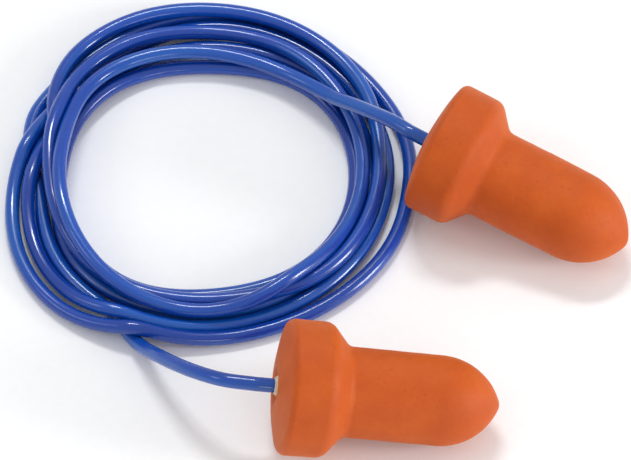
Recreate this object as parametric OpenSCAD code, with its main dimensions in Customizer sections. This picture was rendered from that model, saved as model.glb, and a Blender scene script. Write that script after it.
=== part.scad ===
// Corded foam ear plugs: two bell-shaped foam plugs joined by one coiled PVC cord.
// Millimetres, +Z up. The plugs and the coil lie on the plane z = 0.
// Origin: the middle of the two plugs' box, on the surface that they lie on.
// +X is to the right of the pair, +Y runs from the lower plug to the upper one.

/* [Plug] */
// Length of a plug, from the middle of its base to the tip of its nose
plug_len = 25; // [24:0.5:27]
// Radius of the flared base
flange_r = 7.5; // [7:0.1:8]
// Radius of the straight stem that goes into the ear
stem_r = 5; // [4.6:0.1:5.4]
// Distance from the base to where the flare starts to round over
flange_len = 5; // [4.6:0.1:5.4]
// Distance from the base to where the stem starts to taper into the nose
stem_end = 18.2; // [17:0.2:19]
// Radius of the small ball that ends the nose
tip_r = 1.5; // [1.2:0.1:2]

/* [Cord] */
// Diameter of the cord
cord_d = 1.6; // [1.4:0.1:1.8]
// Depth to which the cord is glued into a plug
cord_depth = 8.5; // [6:0.5:10]
// Wall of the glue between the cord and the foam
glue_wall = 0.2; // [0.15:0.05:0.3]
// Straight length of cord that stands out of each base
neck_len = 2; // [1.6:0.2:2.4]
// Inner radius of the coil
coil_in_r = 15.6; // [14:0.1:16]
// Outer radius of the coil
coil_out_r = 21.6; // [20:0.1:21.7]
// Height of the coil
coil_h = 4.6; // [3.2:0.1:4.8]

/* [Layout] */
// Turn of the upper plug about Z, nose to the right at 0
upper_yaw = -26; // [-28:1:-24]
// Turn of the lower plug about Z
lower_yaw = 1; // [-2:1:4]

/* [Hidden] */

foam_colour = "darkorange";
cord_colour = "royalblue";
glue_colour = "oldlace";

round_fn = 96;         // facets of everything that is turned
cord_sides = 8;        // sides of a swept cord
cord_r = cord_d / 2;
tail_gap = 0.4;        // left free where the cord bends, between two stretches

// Outline of the plug, as (distance from the base, radius)
dome_r = 26;           // the slightly crowned base
rim_r = 0.9;           // round between the base and the flange
brow_r = 1.6;          // round at the front of the flange
shoulder_angle = 50;   // slope of the shoulder, from the axis
fillet_r = 1.2;        // round between the shoulder and the stem

// Places of the plugs' base centres and of the coil's centre, seen from above
upper_base = [-2.5, 17.2];
lower_base = [-19.2, -15.7];
coil_centre = [-26.2, 17.4];

// Route of each free end of the cord, from inside the coil up to the neck at the plug's base,
// and the number of the point where it swings, counted from 0.
upper_route = [[-12.8, 26.2, 3.8], [-10.3, 23.8, 5.6], [-8, 21.5, 7.2], [-6, 19.6, 8.3]];
upper_swing = 2;
lower_route = [[-36.9, -0.9, 0.9], [-34.3, -5, 1.1], [-31.4, -9.2, 4.2], [-28.2, -12.8, 7],
    [-24.8, -15.1, 8.6]];
lower_swing = 3;

// Points of an arc about c, from angle a to angle b, without its first point
function arc(c, r, a, b, steps) =
    [for (i = [1:steps]) let (t = a + (b - a) * i / steps) c + r * [cos(t), sin(t)]];

rim_s = dome_r - sqrt(pow(dome_r - rim_r, 2) - pow(flange_r - rim_r, 2));
dome_angle = asin((flange_r - rim_r) / (dome_r - rim_r));
brow_c = [flange_len, flange_r - brow_r];
shoulder_top = brow_c + brow_r * [sin(shoulder_angle), cos(shoulder_angle)];
shoulder_low_r = stem_r + fillet_r * (1 - cos(shoulder_angle));
stem_start = shoulder_top[0] + (shoulder_top[1] - shoulder_low_r) / tan(shoulder_angle)
    + fillet_r * sin(shoulder_angle);
nose_len = plug_len - stem_end;
nose_arc_r = (nose_len * nose_len - 2 * nose_len * tip_r + stem_r * stem_r) / (2 * (stem_r - tip_r));
nose_angle = atan2(nose_arc_r - stem_r, nose_len - tip_r);

function plug_outline() = concat(
    [[0, 0]],
    arc([dome_r, 0], dome_r, 180, 180 - dome_angle, 6),
    arc([rim_s, flange_r - rim_r], rim_r, 180 - dome_angle, 90, 6),
    [brow_c + [0, brow_r]],
    arc(brow_c, brow_r, 90, 90 - shoulder_angle, 6),
    [[stem_start, stem_r + fillet_r] - fillet_r * [sin(shoulder_angle), cos(shoulder_angle)]],
    arc([stem_start, stem_r + fillet_r], fillet_r, 270 - shoulder_angle, 270, 5),
    [[stem_end, stem_r]],
    arc([stem_end, stem_r - nose_arc_r], nose_arc_r, 90, nose_angle, 10),
    arc([plug_len - tip_r, 0], tip_r, nose_angle, 0, 5)
);

// A plug at rest lies on its flange's front round and on its nose, so its nose points down a little.
lean_run = stem_end - brow_c[0];
lean_drop = brow_c[1] - (stem_r - nose_arc_r);
pitch = atan2(lean_drop, lean_run) - asin((nose_arc_r - brow_r) / norm([lean_run, lean_drop]));
base_z = brow_c[0] * sin(pitch) + brow_c[1] * cos(pitch) + brow_r;

// Direction of a plug's nose
function nose_way(yaw) = [cos(yaw) * cos(pitch), sin(yaw) * cos(pitch), -sin(pitch)];
// Where the straight neck of cord ends behind a base
function neck_end(base, yaw) = [base[0], base[1], base_z] - neck_len * nose_way(yaw);

function unit(v) = v / norm(v);
// Direction of a route at its point i
function way(p, i) = unit(p[min(i + 1, len(p) - 1)] - p[max(i - 1, 0)]);
function part_of(p, first, last) = [for (i = [first:last]) p[i]];

// Cord swept along the points p, with a flat ring at each point
module cord_tube(p) {
    rings = [for (i = [0:len(p) - 1])
        let (w = way(p, i), side = unit(cross(w, [0, 0, 1])), up = cross(side, w))
        for (k = [0:cord_sides - 1])
            let (t = 360 * k / cord_sides) p[i] + cord_r * (cos(t) * side + sin(t) * up)];
    walls = [for (i = [0:len(p) - 2], k = [0:cord_sides - 1])
        let (a = i * cord_sides, n = (k + 1) % cord_sides)
        [a + k, a + n, a + n + cord_sides, a + k + cord_sides]];
    last = (len(p) - 1) * cord_sides;
    polyhedron(rings, concat(walls,
        [[for (k = [cord_sides - 1:-1:0]) k]],
        [[for (k = [0:cord_sides - 1]) last + k]]), convexity = 4);
}

// Puts a shape drawn along +Z, base at z = 0, where a plug lies
module as_plug(base, yaw) {
    translate([base[0], base[1], base_z]) rotate([0, 90 + pitch, yaw]) children();
}

// Turns an outline of (distance along, radius) points about the Z axis
module turned(points) {
    rotate_extrude($fn = round_fn) polygon([for (p = points) [p[1], p[0]]]);
}

module plug_foam(base, yaw) {
    pocket_r = cord_r + glue_wall;
    color(foam_colour) as_plug(base, yaw) difference() {
        turned(plug_outline());
        translate([0, 0, -1]) cylinder(r = pocket_r, h = cord_depth + glue_wall + 1, $fn = round_fn);
    }
}

// Thin sleeve of glue with a closed end, between the cord and the foam
module glue_bond(base, yaw) {
    glue_start = 0.4;  // the glue stops short of the base's surface
    color(glue_colour) as_plug(base, yaw) difference() {
        translate([0, 0, glue_start])
            cylinder(r = cord_r + glue_wall, h = cord_depth + glue_wall - glue_start, $fn = round_fn);
        cylinder(r = cord_r, h = cord_depth, $fn = round_fn);
    }
}

module cord_end(base, yaw) {
    color(cord_colour) as_plug(base, yaw)
        translate([0, 0, -neck_len]) cylinder(r = cord_r, h = neck_len + cord_depth, $fn = round_fn);
}

// The stretch that leaves the coil and stays with it
module cord_lead(route, swing) {
    color(cord_colour) cord_tube(part_of(route, 0, swing));
}

// The stretch that swings with the plug, a little short of its neighbours so that it can turn
module cord_tail(route, swing, base, yaw) {
    last = len(route) - 1;
    start = route[swing] + tail_gap * unit(route[swing + 1] - route[swing]);
    neck = neck_end(base, yaw);
    end = neck - tail_gap * unit(neck - route[last]);
    color(cord_colour) cord_tube(concat([start], part_of(route, swing + 1, last), [end]));
}

// Outer shape of the coil: a ring with its edges rounded as the cord is
module cord_coil() {
    ring_w = coil_out_r - coil_in_r;
    color(cord_colour) translate([coil_centre[0], coil_centre[1], 0]) rotate_extrude($fn = round_fn) {
        translate([coil_in_r + cord_r, 0]) square([ring_w - cord_d, coil_h]);
        translate([coil_in_r, cord_r]) square([ring_w, coil_h - cord_d]);
        for (r = [coil_in_r + cord_r, coil_out_r - cord_r], z = [cord_r, coil_h - cord_r])
            translate([r, z]) circle(r = cord_r, $fn = 32);
    }
}

cord_coil();
cord_lead(upper_route, upper_swing);  // upper_cord_lead
cord_tail(upper_route, upper_swing, upper_base, upper_yaw);  // upper_cord_tail
cord_end(upper_base, upper_yaw);  // upper_cord_end
glue_bond(upper_base, upper_yaw);  // upper_glue_bond
plug_foam(upper_base, upper_yaw);  // upper_plug_foam
cord_lead(lower_route, lower_swing);  // lower_cord_lead
cord_tail(lower_route, lower_swing, lower_base, lower_yaw);  // lower_cord_tail
cord_end(lower_base, lower_yaw);  // lower_cord_end
glue_bond(lower_base, lower_yaw);  // lower_glue_bond
plug_foam(lower_base, lower_yaw);  // lower_plug_foam
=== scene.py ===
"""Corded foam ear plugs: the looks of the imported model, in metres, in the frame of the CAD model."""
import math

import bpy
import numpy as np
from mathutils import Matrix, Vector, noise


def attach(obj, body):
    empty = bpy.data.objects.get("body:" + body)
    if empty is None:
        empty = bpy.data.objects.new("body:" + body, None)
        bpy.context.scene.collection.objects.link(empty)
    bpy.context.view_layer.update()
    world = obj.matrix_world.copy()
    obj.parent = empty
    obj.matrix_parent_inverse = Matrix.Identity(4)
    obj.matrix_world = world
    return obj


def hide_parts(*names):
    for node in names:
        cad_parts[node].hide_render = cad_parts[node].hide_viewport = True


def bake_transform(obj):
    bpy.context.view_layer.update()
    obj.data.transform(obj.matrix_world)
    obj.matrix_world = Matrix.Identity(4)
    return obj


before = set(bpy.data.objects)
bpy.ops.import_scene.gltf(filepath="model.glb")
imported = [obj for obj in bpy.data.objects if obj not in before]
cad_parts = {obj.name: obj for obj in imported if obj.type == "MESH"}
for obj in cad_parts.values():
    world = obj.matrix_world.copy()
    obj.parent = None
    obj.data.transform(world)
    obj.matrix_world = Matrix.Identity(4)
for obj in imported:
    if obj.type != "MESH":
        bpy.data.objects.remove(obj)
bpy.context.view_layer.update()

MM = 0.001
UP = np.array([0.0, 0.0, 1.0])

# --- The design's driving sizes, as in the CAD model, in millimetres -------------------------------

PLUG_LEN, FLANGE_R, STEM_R = 25.0, 7.5, 5.0
FLANGE_LEN, STEM_END, TIP_R = 5.0, 18.2, 1.5
DOME_R, RIM_R, BROW_R = 26.0, 0.9, 1.6
SHOULDER_ANGLE, FILLET_R = math.radians(50), 1.2
CORD_D, CORD_DEPTH, GLUE_WALL, NECK_LEN = 1.6, 8.5, 0.2, 2.0
CORD_R = CORD_D / 2
COIL_CENTRE = np.array([-26.2, 17.4])

# Each plug: base centre seen from above, turn about Z, and the cord's route from the coil to the
# neck, with the number of the route point where the cord swings.
PLUGS = {
    "upper": {
        "base": (-2.5, 17.2), "yaw": -26.0, "swing": 2,
        "route": [(-12.8, 26.2, 3.8), (-10.3, 23.8, 5.6), (-8, 21.5, 7.2), (-6, 19.6, 8.3)],
    },
    "lower": {
        "base": (-19.2, -15.7), "yaw": 1.0, "swing": 3,
        "route": [(-36.9, -0.9, 0.9), (-34.3, -5, 1.1), (-31.4, -9.2, 4.2), (-28.2, -12.8, 7),
                  (-24.8, -15.1, 8.6)],
    },
}

NOSE_LEN = PLUG_LEN - STEM_END
NOSE_ARC_R = (NOSE_LEN**2 - 2 * NOSE_LEN * TIP_R + STEM_R**2) / (2 * (STEM_R - TIP_R))
BROW_C = np.array([FLANGE_LEN, FLANGE_R - BROW_R])
LEAN = np.array([STEM_END - BROW_C[0], BROW_C[1] - (STEM_R - NOSE_ARC_R)])
PITCH = math.atan2(LEAN[1], LEAN[0]) - math.asin((NOSE_ARC_R - BROW_R) / np.linalg.norm(LEAN))
BASE_Z = BROW_C[0] * math.sin(PITCH) + BROW_C[1] * math.cos(PITCH) + BROW_R


def nose_way(plug):
    yaw = math.radians(plug["yaw"])
    return np.array([math.cos(yaw) * math.cos(PITCH), math.sin(yaw) * math.cos(PITCH),
                     -math.sin(PITCH)])


def base_point(plug):
    return np.array([*plug["base"], BASE_Z])


def neck_end(plug):
    return base_point(plug) - NECK_LEN * nose_way(plug)


# --- Camera ----------------------------------------------------------------------------------------

VIEW_CENTRE = np.array([-14.7, 10.9, 0.0]) * MM
VIEW_ELEVATION = math.radians(55)
VIEW_WIDTH, VIEW_DISTANCE, SENSOR = 0.0697, 2.2, 36.0


def add_camera():
    data = bpy.data.cameras.new("camera")
    data.sensor_width = SENSOR
    data.lens = SENSOR * VIEW_DISTANCE / VIEW_WIDTH
    data.clip_start, data.clip_end = 0.05, 20
    camera = bpy.data.objects.new("camera", data)
    bpy.context.scene.collection.objects.link(camera)
    back = Vector((0, -math.cos(VIEW_ELEVATION), math.sin(VIEW_ELEVATION)))
    camera.location = Vector(VIEW_CENTRE) + VIEW_DISTANCE * back
    camera.rotation_euler = back.to_track_quat("Z", "Y").to_euler()
    bpy.context.scene.camera = camera


add_camera()

# --- The cord's path -------------------------------------------------------------------------------

# Each turn of the coil as it was wound, from the one that starts at the lower plug: its radius at
# FIRST_DIRECTION and at every 45 degrees clockwise from there, seen from above. The radii were
# chosen so that the coil's strands lie as they do in the photograph.
FIRST_DIRECTION = 225
TURNS = [
    (21.2, 19.5, 21.6, 22.4, 21.8, 22.8, 21.8, 21.9),
    (24.9, 22.0, 18.8, 21.2, 20.2, 19.9, 19.3, 20.7),
    (22.4, 19.9, 18.6, 18.2, 18.4, 17.9, 18.4, 18.6),
    (19.4, 17.6, 17.5, 15.2, 16.9, 16.6, 16.7, 16.1),
    (19.0, 17.8, 22.2, 22.2, 21.2, 18.8, 18.8, 18.0),
    (19.0, 17.9, 20.0, 19.6, 18.2, 17.2, 17.8, 19.6),
    (19.2, 17.4, 18.0, 16.0, 15.9),
]
ROUTE_STEPS, COIL_STEPS = 12, 10   # of the curve between two points of a route, and of a turn
POINT_GAP = 1.0        # distance between the points that are relaxed
HELD_REACH = 60        # how many points at each end are searched for the end of the held route
DROP = 12.0            # how high above its place the upper end starts
RELAX_STEPS, LOWER_STEPS, LAST_STEPS = 460, 260, 80    # in all, of lowering the end, and the last
ROUNDS = 4             # of bending, stretching and touching in each step
FALL, LAST_FALL = 0.03, 0.01       # how far a free point falls in a step, and in one of the last
PLAN_PULL = 0.05       # share of the way back to its planned place, seen from above, in a step
STIFFNESS = 0.035
SETTLE_STEPS, SETTLE_SHARE = 60, 0.15
TOUCH_GAP = CORD_D + 0.05          # kept between two stretches' centrelines
PAIRS_EVERY = 8        # steps from one search for close points to the next
PAIR_REACH, PAIR_SKIP = 1.7 * CORD_D, 4    # how close they are, and neighbours that don't count
PUSH_SHARE = 1.6       # over 1, so that touching points part sooner
BASE_GIVE = 0.2        # how far the soft rim of a base gives way to the cord


def smooth(t):
    t = np.clip(t, 0, 1)
    return t * t * (3 - 2 * t)


def spline(points, steps):
    """A smooth curve through the points (Catmull-Rom), with so many steps from one to the next."""
    p = np.array(points, float)
    p = np.vstack([2 * p[0] - p[1], p, 2 * p[-1] - p[-2]])
    t = (np.arange(steps) / steps)[:, None]
    out = []
    for a, b, c, d in zip(p, p[1:], p[2:], p[3:]):
        out.append(0.5 * (2 * b + (c - a) * t + (2 * a - 5 * b + 4 * c - d) * t**2
                          + (3 * b - a - 3 * c + d) * t**3))
    return np.vstack(out + [p[-2:-1]])


def length_of(path):
    return float(np.linalg.norm(np.diff(path, axis=0), axis=1).sum())


def respaced(path, gap):
    along = np.r_[0, np.cumsum(np.linalg.norm(np.diff(path, axis=0), axis=1))]
    at = np.linspace(0, along[-1], max(2, round(along[-1] / gap) + 1))
    return np.stack([np.interp(at, along, path[:, k]) for k in range(3)], axis=1)


def around(point):
    """The direction (degrees) and distance of a point from the coil's centre, seen from above."""
    x, y = np.array(point[:2]) - COIL_CENTRE
    return math.degrees(math.atan2(y, x)) % 360, math.hypot(x, y)


def planned_coil(start, stop):
    """The turns before they are let down: a loose rising spiral from one held end to the other."""
    radii = [radius for turn in TURNS for radius in turn]
    rows = [around(start), *((FIRST_DIRECTION - 45 * k, r) for k, r in enumerate(radii)),
            (around(stop)[0] - 360 * (len(TURNS) - 1), around(stop)[1])]
    heights = np.linspace(start[2], stop[2], len(rows))
    spiral = spline([(*row, z) for row, z in zip(rows, heights)], COIL_STEPS)
    turn = np.radians(spiral[:, 0])
    flat = COIL_CENTRE + spiral[:, 1:2] * np.stack([np.cos(turn), np.sin(turn)], axis=1)
    return np.column_stack([flat, spiral[:, 2]])[1:-1]


def flange_push(points):
    """How far points of the cord must move to lie outside the plugs' flanges."""
    move = np.zeros_like(points)
    for plug in PLUGS.values():
        q = points - base_point(plug)
        s = q @ nose_way(plug)
        out = q - s[:, None] * nose_way(plug)
        r = np.linalg.norm(out, axis=1)
        dome = DOME_R - np.sqrt(DOME_R**2 - np.minimum(r, FLANGE_R) ** 2)
        side = CORD_R - (r - FLANGE_R)             # how deep past the round wall
        back = CORD_R + s - dome - BASE_GIVE       # and past the crowned base
        hit = (side > 0) & (back > 0) & (s < FLANGE_LEN + BROW_R)
        by_back = hit & (back < side)
        by_side = hit & ~by_back
        move[by_back] -= back[by_back, None] * nose_way(plug)
        move[by_side] += (side / np.maximum(r, 1e-6))[by_side, None] * out[by_side]
    return move


def near_pairs(p):
    """Pairs of points that are close together but not neighbours along the cord."""
    apart = ((p[:, None] - p[None]) ** 2).sum(axis=2)
    first, second = np.nonzero(apart < PAIR_REACH**2)
    far = second - first > PAIR_SKIP
    return first[far], second[far]


def push_apart(p, pairs, free):
    """Moves the free points out of each other, out of the plugs and up to the floor."""
    v = p[pairs[1]] - p[pairs[0]]
    size = np.linalg.norm(v, axis=1)
    close = size < TOUCH_GAP
    a, b, v, size = pairs[0][close], pairs[1][close], v[close], size[close]
    push = ((TOUCH_GAP - size) / np.maximum(size, 1e-6))[:, None] * v / 2
    move, touches = np.zeros_like(p), np.zeros(len(p))
    np.add.at(move, a, -push)
    np.add.at(move, b, push)
    np.add.at(touches, a, 1)
    np.add.at(touches, b, 1)
    move *= (PUSH_SHARE / np.maximum(touches, 1))[:, None]
    move += flange_push(p)
    p[free] += move[free]
    p[free, 2] = np.maximum(p[free, 2], CORD_R)


def relaxed(path, pinned_start, pinned_end):
    """Let the cord down onto the floor and itself. Its ends are held, and the upper one is lowered."""
    p, plan = path.copy(), path.copy()
    count = len(p)
    free = np.zeros(count, bool)
    free[pinned_start:count - pinned_end] = True
    gap = length_of(p) / (count - 1)
    end = np.arange(count) >= count - pinned_end
    for step in range(RELAX_STEPS):
        if step % PAIRS_EVERY == 0:
            pairs = near_pairs(p)
        p[end, 2] = plan[end, 2] - DROP * smooth(step / LOWER_STEPS)
        p[free, 2] -= FALL if step < RELAX_STEPS - LAST_STEPS else LAST_FALL
        p[free, :2] += PLAN_PULL * (plan[free, :2] - p[free, :2])
        for _ in range(ROUNDS):
            bend = p[:-2] - 2 * p[1:-1] + p[2:]
            even = np.zeros_like(p)
            even[2:-2] = -(bend[:-2] - 2 * bend[1:-1] + bend[2:])
            p[free] += STIFFNESS * even[free]
            for start in (0, 1):
                a = np.arange(start, count - 1, 2)
                v = p[a + 1] - p[a]
                size = np.linalg.norm(v, axis=1)
                v *= ((size - gap) / size)[:, None]
                both = np.maximum(free[a].astype(float) + free[a + 1], 1)
                p[a] += (free[a] / both)[:, None] * v
                p[a + 1] -= (free[a + 1] / both)[:, None] * v
            push_apart(p, pairs, free)
    for step in range(SETTLE_STEPS):               # take out what unevenness is left
        if step % PAIRS_EVERY == 0:
            pairs = near_pairs(p)
        push_apart(p, pairs, free)
        even = p.copy()
        even[1:-1] += SETTLE_SHARE * (p[:-2] - 2 * p[1:-1] + p[2:])
        p[free] = even[free]
    return p


def cord_path():
    """The whole centreline, neck to neck."""
    lower = spline([neck_end(PLUGS["lower"]), *PLUGS["lower"]["route"][::-1]], ROUTE_STEPS)
    upper = spline([*PLUGS["upper"]["route"], neck_end(PLUGS["upper"])], ROUTE_STEPS)
    upper[:, 2] += DROP
    path = respaced(np.vstack([lower, planned_coil(lower[-1], upper[0]), upper]), POINT_GAP)
    held_start = int(np.argmin(np.linalg.norm(path[:HELD_REACH] - lower[-1], axis=1))) + 1
    held_end = HELD_REACH - int(np.argmin(np.linalg.norm(path[-HELD_REACH:] - upper[0], axis=1)))
    return relaxed(path, held_start, held_end)


# --- Mesh helpers ----------------------------------------------------------------------------------

def mesh_object(name, points, faces, notes=None):
    """A smooth mesh, with a note on each point of where it lies on its own piece, in millimetres."""
    mesh = bpy.data.meshes.new(name)
    mesh.from_pydata([tuple(map(float, p)) for p in points], [], faces)
    if notes is not None:
        layer = mesh.attributes.new("along", "FLOAT_VECTOR", "POINT")
        layer.data.foreach_set("vector", np.asarray(notes, np.float32).ravel())
    mesh.polygons.foreach_set("use_smooth", [True] * len(faces))
    mesh.update()
    obj = bpy.data.objects.new(name, mesh)
    bpy.context.scene.collection.objects.link(obj)
    return obj


def carried_sides(path):
    """A side direction for each point of the path that doesn't twist about it."""
    ways = np.gradient(path, axis=0)
    ways /= np.linalg.norm(ways, axis=1)[:, None]
    side = np.cross(ways[0], UP)
    side /= np.linalg.norm(side)
    sides = []
    for way in ways:
        side = side - way * (side @ way)
        side /= np.linalg.norm(side)
        sides.append(side)
    return ways, np.array(sides)


CORD_SIDES = 24
RING_GAP = 0.4
EDGE_SHARE = 0.03      # of the ring gap: where the extra ring beside an end lies


def cord_piece(name, path, sides, ways, start, stop, along):
    """The tube round path[start:stop + 1], with flat ends, so that pieces of one cord meet exactly."""
    turn = np.linspace(0, 2 * math.pi, CORD_SIDES, endpoint=False)
    rings, notes = [], []
    for i in range(start, stop + 1):
        up = np.cross(sides[i], ways[i])
        ring = path[i] + CORD_R * (np.cos(turn)[:, None] * sides[i] + np.sin(turn)[:, None] * up)
        rings.append(ring)
        notes.append([(along[i], math.cos(t), math.sin(t)) for t in turn])
    for rows in (rings, notes):                    # a ring close to each end keeps its edge crisp
        first, last = np.array(rows[:2]), np.array(rows[-2:])
        rows.insert(1, (1 - EDGE_SHARE) * first[0] + EDGE_SHARE * first[1])
        rows.insert(len(rows) - 1, EDGE_SHARE * last[0] + (1 - EDGE_SHARE) * last[1])
    count = len(rings)
    points = np.vstack([*rings, path[start:start + 1], path[stop:stop + 1]]) * MM
    notes = np.vstack([*notes, [(along[start], 0, 0)], [(along[stop], 0, 0)]])
    faces = []
    for i in range(count - 1):
        for k in range(CORD_SIDES):
            a, b = i * CORD_SIDES + k, i * CORD_SIDES + (k + 1) % CORD_SIDES
            faces.append((a, b, b + CORD_SIDES, a + CORD_SIDES))
    last = (count - 1) * CORD_SIDES
    for k in range(CORD_SIDES):
        n = (k + 1) % CORD_SIDES
        faces.append((n, k, count * CORD_SIDES))
        faces.append((last + k, last + n, count * CORD_SIDES + 1))
    return mesh_object(name, points, faces, notes)


def turned_piece(name, outline, plug, sides, wobble=None):
    """Turns an outline of (distance from the base, radius) points, in mm, about the plug's axis."""
    nose = nose_way(plug)
    side = np.cross(nose, UP)
    side /= np.linalg.norm(side)
    up = np.cross(side, nose)
    turn = np.linspace(0, 2 * math.pi, sides, endpoint=False)
    round_way = np.cos(turn)[:, None] * side + np.sin(turn)[:, None] * up
    outline = np.array(outline)
    points, local, rows = [], [], []
    for s, r in outline:
        if r < 1e-6:
            rows.append([len(points)])
            points.append(base_point(plug) + s * nose)
            local.append((s, 0, 0))
            continue
        rows.append(list(range(len(points), len(points) + sides)))
        points.extend(base_point(plug) + s * nose + r * round_way)
        local.extend((s, r * math.cos(t), r * math.sin(t)) for t in turn)
    points, local = np.array(points), np.array(local)
    if wobble is not None:
        points = wobble(points, local, nose, side, up)
    faces = []
    for a, b in zip(rows, rows[1:]):
        for k in range(sides):
            n = (k + 1) % sides
            if len(a) == 1:
                faces.append((a[0], b[n], b[k]))
            elif len(b) == 1:
                faces.append((a[k], a[n], b[0]))
            else:
                faces.append((a[k], a[n], b[n], b[k]))
    return mesh_object(name, points * MM, faces, local)


# --- Materials -------------------------------------------------------------------------------------

def srgb(r, g, b):
    """A colour given as 0 to 255 screen values, as the shader wants it."""
    linear = [c / 255 / 12.92 if c <= 10 else ((c / 255 + 0.055) / 1.055) ** 2.4 for c in (r, g, b)]
    return (*linear, 1.0)


class Nodes:
    """A new material with one Principled shader, and short ways to add nodes to it."""

    def __init__(self, name, colour, roughness, **inputs):
        self.material = bpy.data.materials.new(name)
        self.material.use_nodes = True
        self.tree = self.material.node_tree
        self.shader = self.tree.nodes["Principled BSDF"]
        self.shader.inputs["Base Color"].default_value = colour
        self.shader.inputs["Roughness"].default_value = roughness
        for socket, value in inputs.items():
            self.shader.inputs[socket.replace("_", " ")].default_value = value
        self.material.diffuse_color = colour

    def add(self, kind, **settings):
        node = self.tree.nodes.new(kind)
        for key, value in settings.items():
            setattr(node, key, value)
        return node

    def join(self, source, target):
        self.tree.links.new(source, target)

    def own_place(self, stretch=(1, 1, 1), shift=(0, 0, 0)):
        """The piece's own coordinates in millimetres, which move with it."""
        place = self.add("ShaderNodeAttribute", attribute_name="along")
        mapping = self.add("ShaderNodeMapping")
        mapping.inputs["Scale"].default_value = stretch
        mapping.inputs["Location"].default_value = shift
        self.join(place.outputs["Vector"], mapping.inputs["Vector"])
        return mapping.outputs["Vector"]

    def noise(self, vector, scale, detail=3.0, roughness=0.5):
        node = self.add("ShaderNodeTexNoise")
        node.inputs["Scale"].default_value = scale
        node.inputs["Detail"].default_value = detail
        node.inputs["Roughness"].default_value = roughness
        self.join(vector, node.inputs["Vector"])
        return node.outputs["Fac"]

    def cells(self, vector, scale):
        node = self.add("ShaderNodeTexVoronoi")
        node.inputs["Scale"].default_value = scale
        self.join(vector, node.inputs["Vector"])
        return node.outputs["Distance"]

    def ramp(self, value, *stops):
        node = self.add("ShaderNodeValToRGB")
        while len(node.color_ramp.elements) < len(stops):
            node.color_ramp.elements.new(0.5)
        for element, (at, colour) in zip(node.color_ramp.elements, stops):
            element.position, element.color = at, colour
        self.join(value, node.inputs["Fac"])
        return node.outputs["Color"]

    def mapped(self, value, low, high, to_low, to_high):
        node = self.add("ShaderNodeMapRange")
        for socket, number in zip(("From Min", "From Max", "To Min", "To Max"),
                                  (low, high, to_low, to_high)):
            node.inputs[socket].default_value = number
        self.join(value, node.inputs["Value"])
        return node.outputs["Result"]

    def mix(self, share, a, b, blend="MIX"):
        node = self.add("ShaderNodeMix", data_type="RGBA", blend_type=blend)
        for socket, value in (("Factor_Float", share), ("A_Color", a), ("B_Color", b)):
            target = next(i for i in node.inputs if i.identifier == socket)
            if isinstance(value, (int, float, tuple)):
                target.default_value = value
            else:
                self.join(value, target)
        return next(o for o in node.outputs if o.identifier == "Result_Color")

    def bump(self, height, depth, strength=1.0, under=None):
        node = self.add("ShaderNodeBump")
        node.inputs["Distance"].default_value = depth
        node.inputs["Strength"].default_value = strength
        self.join(height, node.inputs["Height"])
        if under is not None:
            self.join(under, node.inputs["Normal"])
        return node.outputs["Normal"]


def foam_material(shift):
    """Closed-skin polyurethane foam: satin, very finely pored, a little translucent, with painted
    shade darkening its pores.
    """
    m = Nodes("foam", srgb(195, 83, 7), 0.6, Subsurface_Weight=0.25, Subsurface_Scale=0.0012,
              Sheen_Weight=0.22, Sheen_Roughness=0.35, Specular_IOR_Level=0.35)
    m.shader.inputs["Subsurface Radius"].default_value = (1.0, 0.36, 0.12)
    m.shader.inputs["Sheen Tint"].default_value = srgb(255, 160, 80)
    place = m.own_place(shift=(shift, 2 * shift, 0))
    clouds = m.noise(place, 0.22, 4, 0.55)
    mottle = m.noise(place, 1.7, 3, 0.6)
    large_pores_and_shade = m.mapped(m.cells(place, 1.5), 0.03, 0.16, 0.0, 1.0)
    small_pores_and_shade = m.mapped(m.cells(place, 4.6), 0.0, 0.24, 0.0, 1.0)
    grain = m.noise(place, 11.0, 2, 0.6)
    colour = m.ramp(clouds, (0.30, srgb(189, 78, 5)), (0.52, srgb(195, 83, 7)),
                    (0.72, srgb(201, 90, 12)))
    # The mottle is the foam's own uneven tone; the darkening in the large and small pores is painted
    # shade in the pits.
    for value, low, high, dark, share in ((mottle, 0.35, 0.65, (0.95, 0.94, 0.92, 1), 0.5),
                                          (large_pores_and_shade, 0.0, 0.8, (0.62, 0.56, 0.52, 1), 0.6),
                                          (small_pores_and_shade, 0.0, 0.9, (0.80, 0.76, 0.72, 1), 0.5)):
        colour = m.mix(share, colour, m.ramp(value, (low, dark), (high, (1, 1, 1, 1))), "MULTIPLY")
    m.join(colour, m.shader.inputs["Base Color"])
    m.join(m.mapped(grain, 0.3, 0.7, 0.50, 0.68), m.shader.inputs["Roughness"])
    skin = m.bump(grain, 0.00002, 0.6)
    skin = m.bump(small_pores_and_shade, 0.00005, 0.6, skin)
    skin = m.bump(large_pores_and_shade, 0.00010, 0.6, skin)
    m.join(m.bump(mottle, 0.00010, 0.4, skin), m.shader.inputs["Normal"])
    return m.material


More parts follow.
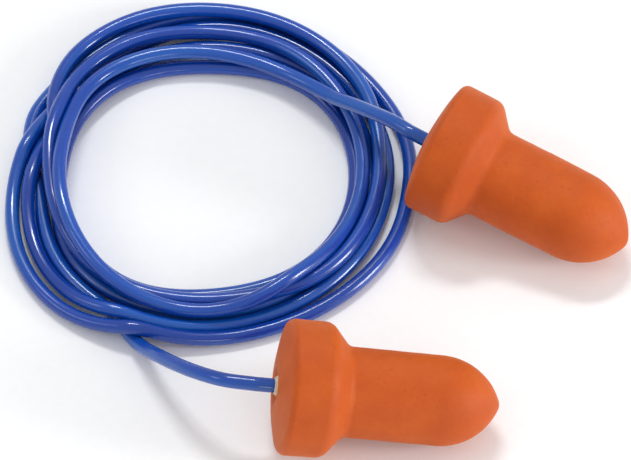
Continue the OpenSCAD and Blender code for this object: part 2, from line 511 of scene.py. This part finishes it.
def cord_material():
    """Glossy soft PVC with faint lines along it from the extruder."""
    m = Nodes("cord", srgb(7, 69, 168), 0.24, Coat_Weight=0.35, Coat_Roughness=0.06,
              Subsurface_Weight=0.15, Subsurface_Scale=0.0006)
    m.shader.inputs["Subsurface Radius"].default_value = (0.25, 0.5, 1.0)
    drift = m.noise(m.own_place((0.045, 0.5, 0.5)), 1.0, 2, 0.5)
    lines = m.noise(m.own_place((0.02, 5.0, 5.0)), 1.0, 2, 0.5)
    scuffs = m.noise(m.own_place((0.35, 2.2, 2.2)), 1.0, 4, 0.65)
    colour = m.ramp(drift, (0.32, srgb(6, 57, 152)), (0.5, srgb(7, 69, 168)),
                    (0.68, srgb(10, 86, 176)))
    colour = m.mix(0.5, colour, m.ramp(lines, (0.35, (0.86, 0.88, 0.92, 1)), (0.6, (1, 1, 1, 1))),
                   "MULTIPLY")
    m.join(colour, m.shader.inputs["Base Color"])
    m.join(m.mapped(scuffs, 0.42, 0.75, 0.17, 0.34), m.shader.inputs["Roughness"])
    under = m.bump(lines, 0.00001, 0.5)
    m.join(m.bump(scuffs, 0.00001, 0.25, under), m.shader.inputs["Normal"])
    return m.material


def glue_material():
    """Clear, slightly yellow adhesive."""
    m = Nodes("glue", srgb(228, 210, 176), 0.2, Transmission_Weight=0.2, IOR=1.48,
              Coat_Weight=0.4, Subsurface_Weight=0.3, Subsurface_Scale=0.0005)
    blur = m.noise(m.own_place(), 2.5, 3, 0.5)
    m.join(m.ramp(blur, (0.35, srgb(214, 192, 152)), (0.65, srgb(234, 220, 190))),
           m.shader.inputs["Base Color"])
    m.join(m.bump(blur, 0.00005, 0.4), m.shader.inputs["Normal"])
    return m.material


def floor_material():
    m = Nodes("floor", (0.96, 0.96, 0.96, 1), 0.6)
    place = m.add("ShaderNodeTexCoord").outputs["Object"]
    grain = m.noise(place, 900.0, 3, 0.5)
    m.join(m.ramp(grain, (0.3, (0.95, 0.95, 0.95, 1)), (0.7, (0.97, 0.97, 0.97, 1))),
           m.shader.inputs["Base Color"])
    return m.material


# --- The cord --------------------------------------------------------------------------------------

END_RINGS = 200            # rings at each end among which the cuts of a free end lie


def nearest(path, point, first, stop):
    return first + int(np.argmin(np.linalg.norm(path[first:stop] - np.array(point), axis=1)))


def add_cord():
    """One cord from pocket to pocket, cut into pieces near each plug."""
    whole = cord_path()
    material = cord_material()
    lower, upper = PLUGS["lower"], PLUGS["upper"]
    glued = [base_point(p) + CORD_DEPTH * nose_way(p) for p in (lower, upper)]
    middle = spline(whole, round(POINT_GAP / RING_GAP))
    ends = [respaced(np.array([g, m]), RING_GAP) for g, m in zip(glued, (middle[0], middle[-1]))]
    path = np.vstack([ends[0][:-1], middle, ends[1][::-1][1:]])
    ways, sides = carried_sides(path)
    along = np.r_[0, np.cumsum(np.linalg.norm(np.diff(path, axis=0), axis=1))]
    count = len(path)
    cuts = {}
    for name, plug, first, stop in (("lower", lower, 0, END_RINGS),
                                    ("upper", upper, count - END_RINGS, count)):
        route, swing = plug["route"], plug["swing"]
        bend = np.array(route[swing], float)
        past = route[swing + 1] if swing + 1 < len(route) else neck_end(plug)
        halfway = (np.array(past) + neck_end(plug)) / 2
        cuts[name] = [nearest(path, q, first, stop) for q in (route[0], bend, halfway)]
    pieces = {}
    spans = {
        "lower_cord_plug_end": (0, cuts["lower"][2]),
        "lower_cord_free_end": (cuts["lower"][2], cuts["lower"][0]),
        "cord_turns": (cuts["lower"][0], cuts["upper"][0]),
        "upper_cord_free_end": (cuts["upper"][0], cuts["upper"][2]),
        "upper_cord_plug_end": (cuts["upper"][2], count - 1),
    }
    for name, (start, stop) in spans.items():
        pieces[name] = cord_piece(name, path, sides, ways, start, stop, along)
        pieces[name].data.materials.append(material)
    for name, plug in PLUGS.items():
        free, plug_end = pieces[f"{name}_cord_free_end"], pieces[f"{name}_cord_plug_end"]
        start, bend, halfway = (path[i] * MM for i in cuts[name])
        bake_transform(free)
        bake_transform(plug_end)
        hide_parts(f"{name}_cord_lead", f"{name}_cord_tail")
        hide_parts(f"{name}_cord_end")
    turns = pieces["cord_turns"]
    start, stop = spans["cord_turns"]
    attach(turns, "cord")
    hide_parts("cord_coil")


add_cord()


# --- The foam plugs and their glue -----------------------------------------------------------------

def arc(centre, radius, start, stop, steps):
    turn = np.linspace(start, stop, steps + 1)[1:]
    return [(centre[0] + radius * math.cos(t), centre[1] + radius * math.sin(t)) for t in turn]


def line(start, stop, gap):
    steps = max(1, round(math.dist(start, stop) / gap))
    return [tuple(np.array(start) + (np.array(stop) - np.array(start)) * i / steps)
            for i in range(1, steps + 1)]


DIMPLE_DEPTH, DIMPLE_WIDTH = 0.35, 1.3     # where the cord's hole draws the base in
POCKET_R = CORD_R + GLUE_WALL
ROW_GAP = 0.16                             # between two rows of the foam's mesh
FOAM_SIDES, GLUE_SIDES = 220, 48
TRUE_R = 1.05                              # inside it the pocket and its mouth keep their shape
BASE_FADE = (0.6, 1.2)                     # where the base gives way to the sides, over what length
SWELL_FADE = (1.0, 1.5)                    # the radius from which swells set in, over what length
TIP_SHARE = 0.7                            # how far the nose's unevenness runs along the plug
SWELLS = ((0.085, 0.17), (0.03, 0.55))     # each wave's height in mm and its pace per mm
SKIN = ((0.010, 1.9), (0.004, 4.2))
SWELL_SHIFTS = {"upper": 20, "lower": 57}  # so that the two plugs aren't uneven in the same way
PORE_SHIFTS = {"upper": 0.0, "lower": 11.0}


def base_s(r):
    """How far the crowned base, with its dimple, lies from the plug's zero at a radius."""
    dome = DOME_R - math.sqrt(DOME_R**2 - r * r)
    return dome + DIMPLE_DEPTH * (1 - float(smooth((r - POCKET_R) / DIMPLE_WIDTH)))


def foam_outline():
    quarter = math.pi / 2
    rim_s = DOME_R - math.sqrt((DOME_R - RIM_R)**2 - (FLANGE_R - RIM_R)**2)
    dome_angle = math.asin((FLANGE_R - RIM_R) / (DOME_R - RIM_R))
    slope = np.array([math.sin(SHOULDER_ANGLE), math.cos(SHOULDER_ANGLE)])
    shoulder_top = BROW_C + BROW_R * slope
    low_r = STEM_R + FILLET_R * (1 - math.cos(SHOULDER_ANGLE))
    stem_start = (shoulder_top[0] + (shoulder_top[1] - low_r) / math.tan(SHOULDER_ANGLE)
                  + FILLET_R * math.sin(SHOULDER_ANGLE))
    fillet_c = np.array([stem_start, STEM_R + FILLET_R])
    nose_angle = math.atan2(NOSE_ARC_R - STEM_R, NOSE_LEN - TIP_R)
    depth = CORD_DEPTH + GLUE_WALL
    dome_end = DOME_R * math.sin(dome_angle)
    points = [(depth, 0.0), (depth, POCKET_R)]
    points += line(points[-1], (base_s(POCKET_R), POCKET_R), 0.5)
    points += [(base_s(r), r) for _, r in line((0, POCKET_R), (0, dome_end), ROW_GAP)]
    points += arc((rim_s, FLANGE_R - RIM_R), RIM_R, math.pi - dome_angle, quarter, 10)
    points += line((rim_s, FLANGE_R), (FLANGE_LEN, FLANGE_R), ROW_GAP)
    points += arc(BROW_C, BROW_R, quarter, quarter - SHOULDER_ANGLE, 12)
    points += line(shoulder_top, fillet_c - FILLET_R * slope, ROW_GAP)
    points += arc(fillet_c, FILLET_R, 3 * quarter - SHOULDER_ANGLE, 3 * quarter, 10)
    points += line((stem_start, STEM_R), (STEM_END, STEM_R), ROW_GAP)
    points += arc((STEM_END, STEM_R - NOSE_ARC_R), NOSE_ARC_R, quarter, nose_angle, 44)
    points += arc((PLUG_LEN - TIP_R, 0), TIP_R, nose_angle, 0.12, 4)
    return [*points, (PLUG_LEN, 0.0)]


def uneven_foam(shift):
    """Moulded foam is never quite true: broad swells, skin texture, and flats where it rests."""
    def waved(at, waves):
        return sum(height * noise.noise(at * pace) for height, pace in waves)

    def wobble(points, local, nose, side, up):
        moved = points.copy()
        for i, (s, y, z) in enumerate(local):
            r = math.hypot(y, z)
            if r < TRUE_R:
                continue
            base = float(1 - smooth((s - BASE_FADE[0]) / BASE_FADE[1]))    # 1 on it, 0 on the sides
            tip = TIP_SHARE * float(smooth((s - STEM_END) / NOSE_LEN))
            out = (y * side + z * up) / r
            way = out * (1 - base) * (1 - tip) + nose * (tip - base)
            at = Vector((s + shift, y - shift, z))
            fade = float(smooth((r - SWELL_FADE[0]) / SWELL_FADE[1]))
            moved[i] += (waved(at, SWELLS) * fade + waved(at, SKIN)) * way
        moved[:, 2] = np.maximum(moved[:, 2], 0.0)
        return moved

    return wobble


def glue_outline():
    """The sleeve in the pocket, with a closed end and a small collar that crept out of the base."""
    depth = CORD_DEPTH + GLUE_WALL
    out_r, lip = POCKET_R - 0.005, base_s(POCKET_R)
    return [(depth, 0.0), (depth, out_r), (lip + 0.1, out_r), (lip - 0.02, POCKET_R + 0.16),
            (lip - 0.16, POCKET_R + 0.12), (lip - 0.32, POCKET_R - 0.04), (lip - 0.42, CORD_R + 0.03),
            (lip - 0.44, CORD_R), (CORD_DEPTH, CORD_R), (CORD_DEPTH, 0.0)]


def add_plugs():
    glue = glue_material()
    for name, plug in PLUGS.items():
        foam = turned_piece(f"{name}_foam", foam_outline(), plug, FOAM_SIDES,
                            uneven_foam(SWELL_SHIFTS[name]))
        foam.data.materials.append(foam_material(PORE_SHIFTS[name]))
        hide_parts(f"{name}_plug_foam")
        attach(foam, f"{name}_plug")
        bond = turned_piece(f"{name}_glue", glue_outline(), plug, GLUE_SIDES)
        bond.data.materials.append(glue)
        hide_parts(f"{name}_glue_bond")
        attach(bond, f"{name}_plug")


add_plugs()


# --- Floor and light -------------------------------------------------------------------------------

FLOOR_HALF, FLOOR_DROP = 2.0, 0.00002


def add_floor():
    a = FLOOR_HALF
    floor = mesh_object("floor", [(-a, -a, 0), (a, -a, 0), (a, a, 0), (-a, a, 0)], [(0, 1, 2, 3)])
    floor.location.z = -FLOOR_DROP
    floor.data.materials.append(floor_material())


def add_softbox(name, place, size, power, colour=(1, 1, 1)):
    """An area light at a place given from the view's centre, in metres, turned towards it."""
    data = bpy.data.lights.new(name, "AREA")
    data.shape, data.size, data.size_y = "RECTANGLE", *size
    data.energy, data.color = power, colour
    light = bpy.data.objects.new(name, data)
    bpy.context.scene.collection.objects.link(light)
    light.location = Vector(VIEW_CENTRE) + Vector(place)
    light.rotation_euler = Vector(place).to_track_quat("Z", "Y").to_euler()


def add_light():
    world = bpy.data.worlds.new("studio")
    world.use_nodes = True
    background = world.node_tree.nodes["Background"]
    background.inputs["Color"].default_value = (1.0, 1.0, 1.0, 1)
    background.inputs["Strength"].default_value = 0.63
    bpy.context.scene.world = world
    add_softbox("top_softbox", (-0.05, 0.30, 0.60), (0.22, 0.07), 1.5, (0.94, 0.98, 1.0))
    add_softbox("right_softbox", (0.62, -0.16, 0.20), (0.16, 0.26), 2.2)
    add_softbox("left_fill", (-0.55, -0.10, 0.45), (0.20, 0.20), 0.3, (0.94, 0.98, 1.0))
    add_softbox("front_fill", (0.30, -0.62, 0.20), (0.40, 0.14), 0.7)


add_floor()
add_light()
bpy.context.scene.view_settings.view_transform = "Standard"
